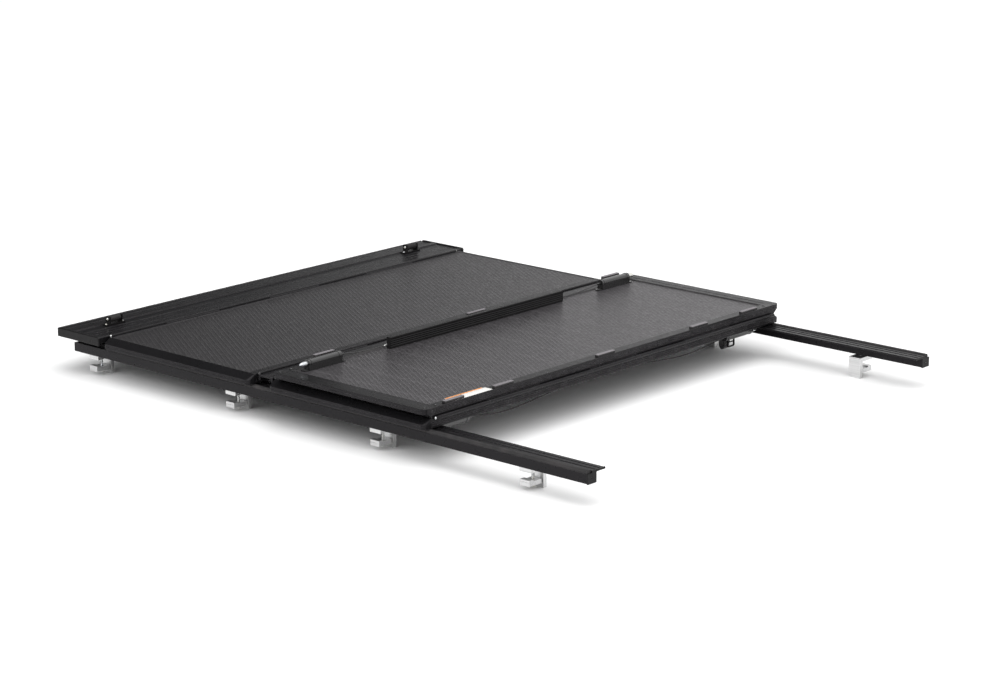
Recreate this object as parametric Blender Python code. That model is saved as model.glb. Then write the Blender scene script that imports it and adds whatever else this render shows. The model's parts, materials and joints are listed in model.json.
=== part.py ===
"""Hard folding tonneau cover for a pickup bed, with its rear panel folded onto the middle one.

A header and two side rails clamp to the bed. Three panels hang behind the header: the front
one on the header's hinge, the middle one on a spacer link with two hinges, and the rear one on
the middle panel's hinge. Each panel is a bonded slab in an aluminium frame. Spring latches under
the middle and rear panels slide their bolts under the side rails.

All dimensions below are in millimetres, in the closed cover's own frame: X across the bed,
Y towards the cab from the header's hinge line, Z up from the closed cover's top. The empty
"cover" then puts the origin at the bottom centre of the assembly.
"""

import math

import bmesh
import bpy
from mathutils import Vector

MM = 0.001
GAP = 0.3                      # clearance between touching pieces

# Places along the bed.
HEADER_HINGE_Y = 0.0
FRONT_HINGE_Y = -620.0         # front panel to spacer link
MIDDLE_HINGE_Y = -685.0        # spacer link to middle panel
REAR_HINGE_Y = -1284.0         # middle panel to rear panel
TAIL_Y = -1859.0               # tail edge of the closed cover
HEADER_DEPTH = 186.0
RAIL_FRONT_Y = 140.0
RAIL_REAR_Y = -1818.0
RAIL_CAP = 4.0
HEADER_SEAL = 8.0

# The panels' cross-section.
HALF_WIDTH = 772.0
FRAME_TOP = -0.5
SLOPE_FOOT = -14.0
PANEL_BOTTOM = -28.0
LIP = 3.0
SIDE_LIP_X = 722.0
SIDE_BAR_IN = 742.0
SLAB_HALF = SIDE_BAR_IN - GAP
SLAB_TOP = -1.5
SLAB_BOTTOM = PANEL_BOTTOM + LIP + GAP
SIDE_SLOPE = 26.0              # how far the sides slope inwards
CORNER_R = 15.0

# The hinges.
HINGE_EDGE = 6.0               # from the axis to the frame's edge
KNUCKLE_R = 5.0
KNUCKLE_BORE = 2.8
PIN_R = 2.5
HINGE_HALF = 735.0
KNUCKLES = 7

# The side rails and their clamps, at the right side.
RAIL_IN = 690.0
RAIL_BOX_IN = 724.0
RAIL_OUT = 756.0
RAIL_TOP = -32.0
RAIL_PLATE = 4.0
RAIL_BOTTOM = -64.0
SEAL_SEAT = -38.0
CLAMP_Y = {"front": 60.0, "rear": -1610.0}
CLAMP_BOLT_X = 722.0
CLAMP_HALF = 20.0
JAW_HALF = 16.0
CLAMP_HOLE_R = 4.5
BOTTOM = -125.0                # the clamps' feet, which the part stands on

# The rollers on the header.
BUMPER_BACK = 94.5
BUMPER_DEPTH = 20.0
BUMPER_Z = 18.0
BUMPER_R = 10.0

# The latches and the other fittings.
LATCH_Z = -44.5
LATCH_R = 11.0
LATCH_BORE = 7.4
LATCH_IN = 560.0
LATCH_OUT = 688.0
CABLE_HOLE_R = 2.0
MIDDLE_LATCH_Y = -1236.0
REAR_LATCH_Y = -1808.0
BOLT_R = 7.0
BOLT_TIP = 715.0
BOLT_TAIL = 640.0
SPRING_END = 572.0
LATCH_SIDES = 20
TAIL_BAR_Y = -1803.0
TAIL_BAR_HALF = 370.0
TAIL_BAR_HALF_DEPTH = 7.0
TAIL_BAR_TOP = -58.0
STRAP_X = 660.0
STRAP_Y = -1160.0
STRAP_HALF = 12.5
STRAP_R = 20.0
STRAP_THICK = 1.8
ROD_X = 655.0
ROD_PIVOT_Y = -500.0
ROD_END_Y = 60.0
ROD_Z = -37.0
ROD_R = 4.0

# The world place of the closed frame's origin.
REAR_END = RAIL_REAR_Y - RAIL_CAP
FRONT_END = HEADER_DEPTH + HEADER_SEAL
ORIGIN_Y = -(FRONT_END + REAR_END) / 2
ORIGIN_Z = -BOTTOM

SIDES = {"left": -1, "right": 1}


# ---------------------------------------------------------------- scene and materials

def clear_scene():
    """Remove every object of the open file."""
    for obj in list(bpy.data.objects):
        bpy.data.objects.remove(obj)


def make_material(name, colour, roughness, metallic):
    """A Principled material."""
    material = bpy.data.materials.new(name)
    material.use_nodes = True
    shader = material.node_tree.nodes["Principled BSDF"]
    shader.inputs["Base Color"].default_value = (*colour, 1.0)
    shader.inputs["Roughness"].default_value = roughness
    shader.inputs["Metallic"].default_value = metallic
    material.diffuse_color = (*colour, 1.0)
    return material


def make_empty(name, place, parent=None, turn=0.0):
    """An empty at a place in its parent's frame, turned about X."""
    empty = bpy.data.objects.new(name, None)
    empty.location = Vector(place) * MM
    empty.rotation_euler.x = turn
    empty.parent = parent
    bpy.context.scene.collection.objects.link(empty)
    return empty


def make_bodies():
    """The empties on the hinge axes: body name to (empty, its place on the closed cover)."""
    lines = {
        "cover": (0.0, 0.0, 0.0),
        "front": (0.0, HEADER_HINGE_Y, 0.0),
        "link": (0.0, FRONT_HINGE_Y, 0.0),
        "middle": (0.0, MIDDLE_HINGE_Y, 0.0),
        "rear": (0.0, REAR_HINGE_Y, 0.0),
    }
    bodies = {}
    parent, last = None, Vector((0.0, -ORIGIN_Y, -ORIGIN_Z))
    for name, place in lines.items():
        turn = math.pi if name == "rear" else 0.0
        parent = make_empty(name + "_axis", Vector(place) - last, parent, turn)
        last = Vector(place)
        bodies[name] = (parent, last)
    return bodies


def add(name, bm, material, body, origin=None, smooth=False, unite=None, cut=None):
    """Make a node from closed-cover geometry, with its origin at its axis."""
    empty, base = BODIES[body]
    origin = base if origin is None else Vector(origin)
    bmesh.ops.translate(bm, verts=bm.verts, vec=-origin)
    bmesh.ops.scale(bm, verts=bm.verts, vec=(MM, MM, MM))
    bmesh.ops.recalc_face_normals(bm, faces=bm.faces)
    mesh = bpy.data.meshes.new(name)
    bm.to_mesh(mesh)
    bm.free()
    if smooth:
        mesh.shade_smooth()
        mesh.set_sharp_from_angle(angle=math.radians(40))
    mesh.materials.append(material)
    obj = bpy.data.objects.new(name, mesh)
    obj.parent = empty
    obj.location = (origin - base) * MM
    bpy.context.scene.collection.objects.link(obj)
    for operation, tool in (("UNION", unite), ("DIFFERENCE", cut)):
        if tool is not None:
            guide = add(name + "_" + operation.lower(), tool, material, body, origin)
            guide.hide_render = True
            guide.display_type = "WIRE"
            boolean = obj.modifiers.new(operation.title(), "BOOLEAN")
            boolean.operation = operation
            boolean.solver = "EXACT"
            boolean.object = guide
    return obj


# ---------------------------------------------------------------- shapes

def place_point(axis, along, point):
    """A point of an outline at a station along an axis."""
    a, b = point
    if axis == "X":
        return Vector((along, a, b))
    if axis == "Y":
        return Vector((a, along, b))
    return Vector((a, b, along))


def loft(bm, rings, closed=False):
    """A solid through rings of equal count, with flat ends unless it closes on itself."""
    rows = [[bm.verts.new(p) for p in ring] for ring in rings]
    pairs = list(zip(rows, rows[1:]))
    if closed:
        pairs.append((rows[-1], rows[0]))
    else:
        bm.faces.new(rows[0])
        bm.faces.new(rows[-1])
    for row, after in pairs:
        for i in range(len(row)):
            j = (i + 1) % len(row)
            bm.faces.new((row[i], row[j], after[j], after[i]))


def prism(bm, axis, outline, low, high, side=1):
    """An outline drawn out along an axis; side -1 mirrors it to the left."""
    rings = [[place_point(axis, at, p) for p in outline] for at in (low, high)]
    loft(bm, mirrored(rings, side))


def tube(bm, axis, outer, inner, low, high, side=1):
    """A prism with a hole: outer and inner outlines of the same count."""
    stations = ((outer, low), (outer, high), (inner, high), (inner, low))
    rings = [[place_point(axis, at, p) for p in outline] for outline, at in stations]
    loft(bm, mirrored(rings, side), closed=True)


def mirrored(rings, side):
    """The rings, reflected in X for the left side."""
    return [[Vector((side * p.x, p.y, p.z)) for p in ring] for ring in rings]


def box(bm, low, high, side=1):
    """A plain box between two corners."""
    outline = [(low[0], low[1]), (high[0], low[1]), (high[0], high[1]), (low[0], high[1])]
    prism(bm, "Z", outline, low[2], high[2], side)


def circle(radius, centre=(0.0, 0.0), count=16):
    """A circle's outline."""
    angles = [2 * math.pi * i / count for i in range(count)]
    return [(centre[0] + radius * math.cos(a), centre[1] + radius * math.sin(a)) for a in angles]


def turned(bm, axis, centre, stations, side=1, count=16):
    """A solid of revolution through (place along the axis, radius) stations."""
    rings = [[place_point(axis, at, p) for p in circle(r, centre, count)] for at, r in stations]
    loft(bm, mirrored(rings, side))


def rounded(half_x, half_y, radius, centre, steps=3):
    """A rectangle's outline with round corners."""
    points = []
    for corner, (sx, sy) in enumerate(((1, 1), (-1, 1), (-1, -1), (1, -1))):
        for i in range(steps + 1):
            a = math.pi / 2 * (corner + i / steps)
            x = centre[0] + sx * (half_x - radius) + radius * math.cos(a)
            y = centre[1] + sy * (half_y - radius) + radius * math.sin(a)
            points.append((x, y))
    return points


def swept(bm, points, radius, count=8, side=1):
    """A round rod along a path of points."""
    points = [Vector((side * p[0], p[1], p[2])) for p in points]
    rings = []
    across = None
    for i, point in enumerate(points):
        ahead = points[min(i + 1, len(points) - 1)] - points[max(i - 1, 0)]
        ahead.normalize()
        if across is None:
            across = ahead.orthogonal().normalized()
        across = (across - ahead * across.dot(ahead)).normalized()
        up = ahead.cross(across)
        turn = [2 * math.pi * k / count for k in range(count)]
        rings.append([point + radius * (across * math.cos(a) + up * math.sin(a)) for a in turn])
    loft(bm, rings)


def smooth_route(knots, count):
    """Points read from a smooth curve through the knots, evenly along it."""
    knots = [Vector(k) for k in knots]
    ends = [2 * knots[0] - knots[1]] + knots + [2 * knots[-1] - knots[-2]]
    fine = []
    for a, b, c, d in zip(ends, ends[1:], ends[2:], ends[3:]):
        for i in range(40):
            t = i / 40
            fine.append(0.5 * (2 * b + (c - a) * t + (2 * a - 5 * b + 4 * c - d) * t * t
                               + (3 * b - a - 3 * c + d) * t ** 3))
    fine.append(knots[-1])
    lengths = [0.0]
    for p, q in zip(fine, fine[1:]):
        lengths.append(lengths[-1] + (q - p).length)
    points = []
    for i in range(count):
        goal = lengths[-1] * i / (count - 1)
        j = next((n for n, s in enumerate(lengths) if s >= goal - 1e-9), len(fine) - 1)
        j = max(j, 1)
        share = (goal - lengths[j - 1]) / (lengths[j] - lengths[j - 1])
        points.append(fine[j - 1].lerp(fine[j], share))
    return points


def add_cable(name, points, diameter, material, body):
    """A round cable that is held along its whole route."""
    empty, base = BODIES[body]
    curve = bpy.data.curves.new(name, "CURVE")
    curve.dimensions = "3D"
    curve.bevel_depth = diameter / 2 * MM
    curve.bevel_resolution = 2
    curve.use_fill_caps = True
    curve.materials.append(material)
    spline = curve.splines.new("POLY")
    spline.points.add(len(points) - 1)
    for knot, point in zip(spline.points, points):
        knot.co = (*((point - base) * MM), 1.0)
    obj = bpy.data.objects.new(name, curve)
    obj.parent = empty
    bpy.context.scene.collection.objects.link(obj)
    return obj


# ---------------------------------------------------------------- hinges

def hinge_knuckles(axis_y, towards, first):
    """Every second knuckle of a hinge, with tabs towards one side (+1 is the cab's)."""
    bm = bmesh.new()
    bore = circle(KNUCKLE_BORE)
    outer = circle(KNUCKLE_R)
    tab, under = -HINGE_EDGE - 1.5, -KNUCKLE_R + 0.1
    outer[7:12] = [(-4.9, 0.6), (tab, -1.0), (tab, under), (-4.0, under), (-2.0, under)]
    pitch = 2 * HINGE_HALF / KNUCKLES
    if towards > 0:
        outer = [(-y, z) for y, z in outer]
        bore = [(-y, z) for y, z in bore]
    for k in range(first, KNUCKLES, 2):
        low = -HINGE_HALF + k * pitch + 0.5
        high = low + pitch - 1.0
        outlines = [[(axis_y + y, z) for y, z in shape] for shape in (outer, bore)]
        tube(bm, "X", outlines[0], outlines[1], low, high)
    return bm


def hinge_pin(name, axis_y, body):
    """A hinge's full-width pin."""
    bm = bmesh.new()
    half = HINGE_HALF - 1.0
    turned(bm, "X", (axis_y, 0.0), ((-half, PIN_R), (half, PIN_R)))
    add(name, bm, STEEL, body, smooth=True)


# ---------------------------------------------------------------- fixed frame on the bed

def make_header():
    """The header plate with its hinge knuckles, end caps and cab seal."""
    depth = HEADER_DEPTH
    outline = [(6, -16), (6, -0.5), (7, 0.9), (9, 1.8), (15, 1.8), (17, 0)]
    for groove in (42, 62, 82):
        outline += [(groove - 2, 0), (groove - 1, -0.8), (groove + 1, -0.8), (groove + 2, 0)]
    outline += [(116, 0), (118, 2.6), (139, 2.6), (141, 0)]
    outline += [(160, 0), (161, -0.8), (163, -0.8), (164, 0)]
    outline += [(depth - 3, 0), (depth, -3), (depth, -22), (150, -22), (150, -19)]
    outline += [(depth - 3, -19), (depth - 3, -5), (depth - 5, -3), (9, -3), (9, -16)]
    bm = bmesh.new()
    prism(bm, "X", outline, -HALF_WIDTH + GAP, HALF_WIDTH - GAP)
    add("header_plate", bm, ALUMINIUM, "cover", unite=hinge_knuckles(HEADER_HINGE_Y, 1, 0))
    hinge_pin("header_hinge_pin", HEADER_HINGE_Y, "cover")

    cap = [(4, -23), (4, 0), (8, 3), (depth - 4, 3), (depth, 0), (depth, -23)]
    inset = [(6, -21), (6, -1), (9, 1.5), (depth - 5, 1.5), (depth - 2, -1), (depth - 2, -21)]
    for word, side in SIDES.items():
        bm = bmesh.new()
        stations = ((cap, HALF_WIDTH), (cap, HALF_WIDTH + 6), (inset, HALF_WIDTH + 8))
        rings = [[place_point("X", at, p) for p in shape] for shape, at in stations]
        loft(bm, mirrored(rings, side))
        add("header_end_cap_" + word, bm, PLASTIC, "cover")

    y = depth + GAP
    seal = [(y, -14), (y, -1), (y + 2, 0.5), (y + 5, 0.8), (depth + HEADER_SEAL, -2)]
    seal += [(depth + HEADER_SEAL, -7), (y + 5, -10), (y + 2, -14)]
    bm = bmesh.new()
    prism(bm, "X", seal, -HALF_WIDTH, HALF_WIDTH)
    add("header_seal", bm, RUBBER, "cover")


def make_cab_bumpers():
    """Two rubber rollers in brackets, which the opened stack leans against."""
    back, front = BUMPER_BACK, BUMPER_BACK + BUMPER_DEPTH
    for word, side in SIDES.items():
        outline = [(596, GAP), (668, GAP), (668, 3.5), (657, 4.3), (657, 26), (653, 26)]
        outline += [(653, 4.3), (611, 4.3), (611, 26), (607, 26), (607, 4.3), (596, 3.5)]
        bm = bmesh.new()
        prism(bm, "Y", outline, back, front, side)
        add("cab_bumper_bracket_" + word, bm, PLASTIC, "cover")

        bm = bmesh.new()
        rim = BUMPER_R - 1.5
        stations = ((611.5, rim), (613, BUMPER_R), (651, BUMPER_R), (652.5, rim))
        turned(bm, "X", ((front + back) / 2, BUMPER_Z), stations, side, 24)
        add("cab_bumper_pad_" + word, bm, RUBBER, "cover", smooth=True)


def make_rails():
    """The side rails with their seals and end caps."""
    top = RAIL_TOP
    outline = [(RAIL_IN, top - RAIL_PLATE), (RAIL_IN, top - 1), (RAIL_IN + 1, top)]
    for x in (RAIL_IN + 13, RAIL_IN + 30):
        outline += [(x, top), (x + 1, top - 2), (x + 6, top - 2), (x + 7, top)]
    outline += [(738, top), (740, top - 1.5), (740, SEAL_SEAT), (RAIL_OUT, SEAL_SEAT)]
    outline += [(RAIL_OUT, RAIL_BOTTOM), (RAIL_BOX_IN, RAIL_BOTTOM)]
    outline += [(RAIL_BOX_IN, top - RAIL_PLATE)]
    low, high = SEAL_SEAT + GAP, PANEL_BOTTOM - 0.4
    seal = [(741, low), (755, low), (755, -33), (753, high - 1.2), (750, high)]
    seal += [(746, high), (743, high - 1.2), (741, -33)]
    cap = [(689, top - 5), (689, top + 0.5), (740.5, top + 0.5), (740.5, SEAL_SEAT + 0.5)]
    cap += [(757, SEAL_SEAT + 0.5), (757, RAIL_BOTTOM - 1), (723, RAIL_BOTTOM - 1), (723, top - 5)]
    pieces = (
        ("side_rail_", outline, RAIL_REAR_Y, RAIL_FRONT_Y, ALUMINIUM),
        ("rail_seal_", seal, RAIL_REAR_Y, 2.0, RUBBER),
        ("rail_end_cap_", cap, REAR_END, RAIL_REAR_Y - GAP, PLASTIC),
    )
    for name, section, low, high, material in pieces:
        for word, side in SIDES.items():
            bm = bmesh.new()
            prism(bm, "Y", section, low, high, side)
            add(name + word, bm, material, "cover")


def make_clamps():
    """A clamp near each end of each rail: a body under the rail, and a jaw that grips upwards."""
    plate, jaw_top = -76.0, -100.0
    body = [(692, RAIL_BOTTOM - GAP), (752, RAIL_BOTTOM - GAP), (752, plate), (704, plate)]
    body += [(704, BOTTOM), (692, BOTTOM)]
    jaw = [(706, jaw_top - 12), (754, jaw_top - 12), (754, jaw_top + 4), (738, jaw_top + 4)]
    jaw += [(738, jaw_top), (706, jaw_top)]
    kinds = (("clamp_body_", body, CLAMP_HALF), ("clamp_jaw_", jaw, JAW_HALF))
    for end, y in CLAMP_Y.items():
        for word, side in SIDES.items():
            centre = (side * CLAMP_BOLT_X, y)
            for name, outline, half in kinds:
                bm, drill = bmesh.new(), bmesh.new()
                prism(bm, "Y", outline, y - half, y + half, side)
                low, high = outline[0][1] - 15, outline[0][1] + 15
                turned(drill, "Z", centre, ((low, CLAMP_HOLE_R), (high, CLAMP_HOLE_R)))
                add(name + end + "_" + word, bm, ALUMINIUM, "cover", cut=drill)


# ---------------------------------------------------------------- panels

def cross_frame_outline(edge_y, inward, top_width, lip_width):
    """The YZ section of a frame bar across the cover; inward is -1 for a cab-side bar."""
    top_in, lip_in = edge_y + inward * top_width, edge_y + inward * lip_width
    groove = edge_y + inward * 1.2
    outline = [(edge_y, FRAME_TOP), (top_in, FRAME_TOP), (top_in, PANEL_BOTTOM + LIP)]
    outline += [(lip_in, PANEL_BOTTOM + LIP), (lip_in, PANEL_BOTTOM)]
    outline += [(edge_y + inward, PANEL_BOTTOM), (edge_y, PANEL_BOTTOM + 1)]
    for z in (-22.0, -17.0, -12.0):
        outline += [(edge_y, z), (groove, z + 0.8), (groove, z + 1.8), (edge_y, z + 2.6)]
    return outline


def side_bar(cab_y, tail_y, side):
    """A side frame bar: sloping above, with its two outer corners rounded in plan."""
    line = -20.0
    levels = (
        (PANEL_BOTTOM, 1.0, CORNER_R - 1),
        (PANEL_BOTTOM + 1, 0.0, CORNER_R),
        (line - 1, 0.0, CORNER_R),
        (line, 1.0, CORNER_R - 1),
        (line + 1, 0.0, CORNER_R),
        (SLOPE_FOOT, 0.0, CORNER_R),
        (FRAME_TOP, SIDE_SLOPE, 3.0),
    )
    turns = [math.pi / 2 * i / 4 for i in range(5)]
    rings = []
    for z, inset, radius in levels:
        centre_x = HALF_WIDTH - inset - radius
        ring = [(SIDE_BAR_IN, tail_y), (SIDE_BAR_IN, cab_y)]
        for edge, inward, angles in ((cab_y, -1, turns), (tail_y, 1, turns[::-1])):
            for a in angles:
                y = edge + inward * radius * (1 - math.cos(a))
                ring.append((centre_x + radius * math.sin(a), y))
        rings.append([place_point("Z", z, p) for p in ring])
    bm = bmesh.new()
    loft(bm, mirrored(rings, side))
    return bm


def make_panel(name, body, ends, knuckles):
    """A slab in a frame. ends: (edge, top width, lip width) at the cab end and tail end."""
    (cab_y, cab_top, cab_lip), (tail_y, tail_top, tail_lip) = ends
    bm = bmesh.new()
    low = (-SLAB_HALF, tail_y + tail_top + GAP, SLAB_BOTTOM)
    box(bm, low, (SLAB_HALF, cab_y - cab_top - GAP, SLAB_TOP))
    add(name + "_slab", bm, FIBRE, body)

    for word, end, inward in (("front", ends[0], -1), ("rear", ends[1], 1)):
        bm = bmesh.new()
        outline = cross_frame_outline(end[0], inward, end[1], end[2])
        prism(bm, "X", outline, -SLAB_HALF, SLAB_HALF)
        add(name + "_frame_" + word, bm, ALUMINIUM, body, unite=knuckles.get(word))

    for word, side in SIDES.items():
        lip = bmesh.new()
        low = (SIDE_LIP_X, tail_y + tail_lip + GAP, PANEL_BOTTOM + 0.5)
        box(lip, low, (SIDE_BAR_IN + 3, cab_y - cab_lip - GAP, PANEL_BOTTOM + LIP), side)
        bm = side_bar(cab_y, tail_y, side)
        add(name + "_frame_" + word, bm, ALUMINIUM, body, unite=lip)


def make_link():
    """The spacer between the front and middle panels, with a hinge along each edge."""
    cab_y, tail_y = FRONT_HINGE_Y - HINGE_EDGE, MIDDLE_HINGE_Y + HINGE_EDGE
    outline = [(tail_y, FRAME_TOP)]
    for groove in (-661, -652.5, -644):
        outline += [(groove - 2, FRAME_TOP), (groove - 1, FRAME_TOP - 1.2)]
        outline += [(groove + 1, FRAME_TOP - 1.2), (groove + 2, FRAME_TOP)]
    outline += [(cab_y, FRAME_TOP), (cab_y, -16), (cab_y - 4, -16), (cab_y - 4, -5)]
    outline += [(tail_y + 4, -5), (tail_y + 4, -16), (tail_y, -16)]
    both = hinge_knuckles(FRONT_HINGE_Y, -1, 1)
    extra = hinge_knuckles(MIDDLE_HINGE_Y, 1, 1)
    spare = bpy.data.meshes.new("knuckles")
    extra.to_mesh(spare)
    extra.free()
    both.from_mesh(spare)
    bpy.data.meshes.remove(spare)
    bm = bmesh.new()
    prism(bm, "X", outline, -SLAB_HALF, SLAB_HALF)
    add("hinge_link", bm, ALUMINIUM, "link", unite=both)
    hinge_pin("link_pin_front", FRONT_HINGE_Y, "link")
    hinge_pin("link_pin_rear", MIDDLE_HINGE_Y, "link")


# ---------------------------------------------------------------- latches and fittings

def make_latches(name, body, y):
    """The two latch housings of a panel, with a sprung bolt in each."""
    foot = SLAB_BOTTOM - GAP - LATCH_Z
    outer = circle(LATCH_R, count=LATCH_SIDES)
    rise = [(LATCH_R, foot * step / 3) for step in (1, 2, 3)]
    across = [(LATCH_R / 2 * step, foot) for step in (1, 0, -1)]
    outer[1:10] = rise + across + [(-x, z) for x, z in rise[::-1]]
    shapes = [outer] + [circle(r, count=LATCH_SIDES) for r in (LATCH_BORE, CABLE_HOLE_R)]
    shell, bore, cable_hole = [[(y + a, LATCH_Z + b) for a, b in shape] for shape in shapes]
    wall = SPRING_END - 2.0
    stations = ((shell, LATCH_IN), (shell, LATCH_OUT), (bore, LATCH_OUT), (bore, wall),
                (cable_hole, wall), (cable_hole, LATCH_IN))
    for word, side in SIDES.items():
        bm = bmesh.new()
        rings = [[place_point("X", at, p) for p in shape] for shape, at in stations]
        loft(bm, mirrored(rings, side), closed=True)
        add(name + "_latch_" + word, bm, BLACK_STEEL, body, smooth=True)

        bm = bmesh.new()
        radii = ((BOLT_TAIL, 6.2), (BOLT_TAIL + 1, BOLT_R), (BOLT_TIP - 9, BOLT_R),
                 (BOLT_TIP - 4, 6.0), (BOLT_TIP - 1, 4.0), (BOLT_TIP, 2.0))
        turned(bm, "X", (y, LATCH_Z), radii, side, LATCH_SIDES)
        origin = (side * BOLT_TAIL, y, LATCH_Z)
        add(name + "_bolt_" + word, bm, STEEL, body, origin, smooth=True)


def make_springs(name, body, y):
    """The coil spring behind each bolt."""
    turns, steps, wire, coil = 7, 8, 0.8, 5.4
    first, last = SPRING_END + wire, BOLT_TAIL - wire - 0.4
    for word, side in SIDES.items():
        path = []
        for i in range(turns * steps + 1):
            a = 2 * math.pi * i / steps
            x = first + (last - first) * i / (turns * steps)
            path.append((x, y + coil * math.cos(a), LATCH_Z + coil * math.sin(a)))
        bm = bmesh.new()
        swept(bm, path, wire, 4, side)
        origin = (side * SPRING_END, y, LATCH_Z)
        add(name + "_spring_" + word, bm, STEEL, body, origin)


def make_rear_fittings():
    """The tail bar, and the release cable that runs beside it from latch to latch."""
    bm = bmesh.new()
    low, high = SLAB_BOTTOM - GAP, TAIL_BAR_TOP
    half = TAIL_BAR_HALF_DEPTH
    outline = [(TAIL_BAR_Y - half, low), (TAIL_BAR_Y - half, high + 1.5)]
    outline += [(TAIL_BAR_Y - half + 1.5, high), (TAIL_BAR_Y + half - 1.5, high)]
    outline += [(TAIL_BAR_Y + half, high + 1.5)]
    for z in (-50.5, -44.5, -38.5, -32.5):
        outline += [(TAIL_BAR_Y + half, z - 1.2), (TAIL_BAR_Y + half - 1.2, z - 0.6)]
        outline += [(TAIL_BAR_Y + half - 1.2, z + 0.6), (TAIL_BAR_Y + half, z + 1.2)]
    outline += [(TAIL_BAR_Y + half, low)]
    prism(bm, "X", outline, -TAIL_BAR_HALF, TAIL_BAR_HALF)
    add("tail_bar", bm, PLASTIC, "rear")

    beside = TAIL_BAR_Y - half - 2.5
    half_route = [(566, REAR_LATCH_Y, LATCH_Z), (540, REAR_LATCH_Y, -43.5)]
    half_route += [(490, REAR_LATCH_Y - 1, -37), (430, beside + 1, -33), (385, beside, -33)]
    half_route += [(300, beside, -33), (150, beside, -33)]
    knots = half_route + [(0, beside, -33)] + [(-x, y, z) for x, y, z in reversed(half_route)]
    add_cable("rear_release_cable", smooth_route(knots, 60), 2.6, CABLE, "rear")


def make_middle_fittings():
    """The middle panel's release cable, and its stowage strap with the buckle."""
    half = [(-566, MIDDLE_LATCH_Y, LATCH_Z), (-530, MIDDLE_LATCH_Y + 1, -47)]
    half += [(-450, MIDDLE_LATCH_Y + 8, -60), (-368, MIDDLE_LATCH_Y + 14, -65)]
    half += [(-270, MIDDLE_LATCH_Y + 14, -58), (-150, MIDDLE_LATCH_Y + 10, -46)]
    knots = half + [(0, MIDDLE_LATCH_Y + 8, -42)] + [(-x, y, z) for x, y, z in reversed(half)]
    add_cable("middle_release_cable", smooth_route(knots, 60), 3.0, CABLE, "middle")

    top, turn_z = SLAB_BOTTOM - GAP, -90.0
    outline = []
    for r, order in ((STRAP_R, 1), (STRAP_R - STRAP_THICK, -1)):
        arc = [(STRAP_Y + r, top), (STRAP_Y + r, -60)]
        arc += [(STRAP_Y + r * math.cos(a), turn_z - r * math.sin(a))
                for a in [math.pi * i / 8 for i in range(9)]]
        arc += [(STRAP_Y - r, -60), (STRAP_Y - r, top)]
        outline += arc[::order]
    bm = bmesh.new()
    prism(bm, "X", outline, STRAP_X - STRAP_HALF, STRAP_X + STRAP_HALF)
    add("stow_strap", bm, WEBBING, "middle")
    back = STRAP_Y - STRAP_R - GAP
    bm = bmesh.new()
    prism(bm, "Y", rounded(17.0, 22.0, 6.0, (STRAP_X, -78.0), 2), back - 8.0, back)
    add("strap_buckle", bm, PLASTIC, "middle")


def make_prop_rods():
    """Two bent rods stowed under the front panel; each turns on its short end."""
    path = [(ROD_X - 35, ROD_PIVOT_Y), (ROD_X - 7, ROD_PIVOT_Y), (ROD_X - 2, ROD_PIVOT_Y + 2)]
    path += [(ROD_X, ROD_PIVOT_Y + 7), (ROD_X, ROD_END_Y - 8), (ROD_X + 2, ROD_END_Y - 2)]
    path += [(ROD_X + 7, ROD_END_Y), (ROD_X + 25, ROD_END_Y)]
    for word, side in SIDES.items():
        bm = bmesh.new()
        swept(bm, [(x, y, ROD_Z) for x, y in path], ROD_R, 10, side)
        origin = (side * ROD_X, ROD_PIVOT_Y, ROD_Z)
        add("prop_rod_" + word, bm, BLACK_STEEL, "front", origin, smooth=True)


def make_cover():
    """The whole assembly."""
    make_header()
    make_cab_bumpers()
    make_rails()
    make_clamps()

    front = ((HEADER_HINGE_Y - HINGE_EDGE, 10.0, 28.0), (FRONT_HINGE_Y + HINGE_EDGE, 29.0, 41.0))
    knuckles = {"front": hinge_knuckles(HEADER_HINGE_Y, -1, 1),
                "rear": hinge_knuckles(FRONT_HINGE_Y, 1, 0)}
    make_panel("front", "front", front, knuckles)
    make_prop_rods()
    make_link()

    middle = ((MIDDLE_HINGE_Y - HINGE_EDGE, 12.0, 30.0), (REAR_HINGE_Y + HINGE_EDGE, 12.0, 30.0))
    knuckles = {"front": hinge_knuckles(MIDDLE_HINGE_Y, -1, 0),
                "rear": hinge_knuckles(REAR_HINGE_Y, 1, 0)}
    make_panel("middle", "middle", middle, knuckles)
    make_latches("middle", "middle", MIDDLE_LATCH_Y)
    make_middle_fittings()

    rear = ((REAR_HINGE_Y - HINGE_EDGE, 12.0, 30.0), (TAIL_Y, 22.0, 34.0))
    make_panel("rear", "rear", rear, {"front": hinge_knuckles(REAR_HINGE_Y, -1, 1)})
    hinge_pin("rear_hinge_pin", REAR_HINGE_Y, "middle")
    make_latches("rear", "rear", REAR_LATCH_Y)
    make_springs("rear", "rear", REAR_LATCH_Y)
    make_rear_fittings()


clear_scene()
ALUMINIUM = make_material("black_aluminium", (0.045, 0.045, 0.048), 0.42, 0.6)
FIBRE = make_material("fibre_skin", (0.05, 0.05, 0.052), 0.55, 0.0)
PLASTIC = make_material("black_plastic", (0.03, 0.03, 0.032), 0.5, 0.0)
RUBBER = make_material("rubber", (0.06, 0.06, 0.06), 0.75, 0.0)
STEEL = make_material("zinc_steel", (0.7, 0.7, 0.72), 0.3, 1.0)
BLACK_STEEL = make_material("black_steel", (0.03, 0.03, 0.032), 0.35, 0.6)
CABLE = make_material("cable_sleeve", (0.04, 0.04, 0.04), 0.5, 0.0)
WEBBING = make_material("webbing", (0.02, 0.02, 0.02), 0.9, 0.0)
BODIES = make_bodies()
make_cover()
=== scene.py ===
"""Looks for the folding tonneau cover: fine pieces, materials, studio and camera.

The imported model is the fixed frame. New pieces are drawn as the CAD is: in millimetres on the
closed cover, with X across the bed, Y towards the cab from the header's hinge line, and Z up
from the closed cover's top. to_row() takes such a point to the row frame, where the rear panel
is folded.
"""

import json
import math

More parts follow.
